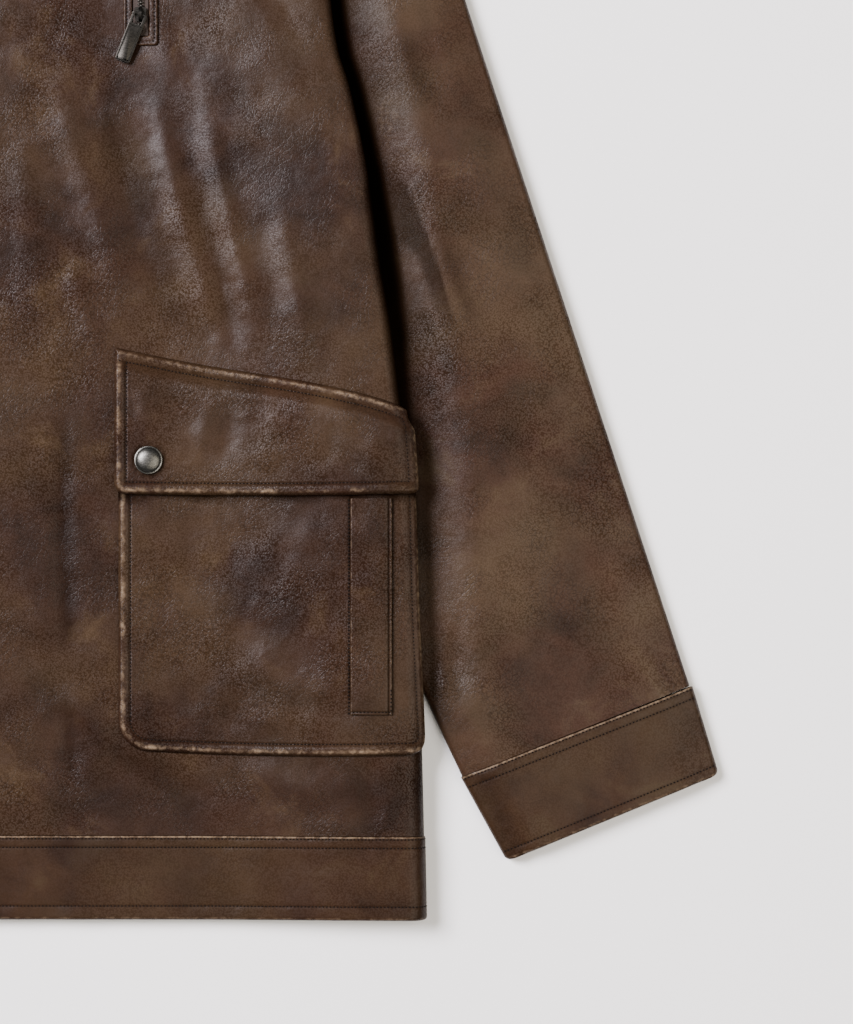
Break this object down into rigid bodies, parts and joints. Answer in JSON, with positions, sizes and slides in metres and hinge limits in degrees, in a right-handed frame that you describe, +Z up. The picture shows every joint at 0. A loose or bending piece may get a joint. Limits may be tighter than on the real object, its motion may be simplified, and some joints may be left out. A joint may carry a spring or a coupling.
{
  "type": "leather coat",
  "caption": "Worn dark brown leather coat laid flat on its back, with snapped front, flapped patch pockets, zipped chest pocket, stitched hem band and cuffs; its zip tab hinges.",
  "frame": {"origin": "centre of the outline on the floor the coat lies on", "axes": "+X to the wearer's left, +Y from hem to collar, +Z up from the floor"},
  "size_m": [0.9214, 0.7726, 0.0307],
  "materials": {
    "leather": "worn dark brown waxed leather, pale at rubbed edges",
    "dark_leather": "the same leather, less rubbed",
    "antique_metal": "antique gunmetal, brushed and worn",
    "zip_tape": "dark brown woven tape"
  },
  "bodies": {
    "coat": {"front_left": "leather", "front_right": "leather", "back": "leather", "hem_front_left": "leather", "hem_front_right": "leather", "hem_back": "leather", "collar": "leather", "sleeve_left": "leather", "sleeve_right": "leather", "cuff_left": "leather", "cuff_right": "leather", "pocket_bag_left": "leather", "pocket_bag_right": "leather", "pocket_flap_left": "leather", "pocket_flap_right": "leather", "placket": "dark_leather", "pocket_welt_left": "dark_leather", "pocket_welt_right": "dark_leather", "zip_welt": "dark_leather", "pocket_snap_left": "antique_metal", "pocket_snap_right": "antique_metal", "zip_slider": "antique_metal", "front_snap_1": "antique_metal", "front_snap_2": "antique_metal", "front_snap_3": "antique_metal", "front_snap_4": "antique_metal", "front_snap_5": "antique_metal", "front_snap_6": "antique_metal", "zip_tape": "zip_tape"},
    "pull_tab": {"zip_pull": "antique_metal"}
  },
  "joints": [
    {"name": "pull_tab_hinge", "type": "hinge", "parent": "coat", "child": "pull_tab", "pos_m": [0.1146, 0.15645, 0.01778], "axis": [-0.9272, 0.3746, 0], "range_deg": [0, 150]}
  ]
}
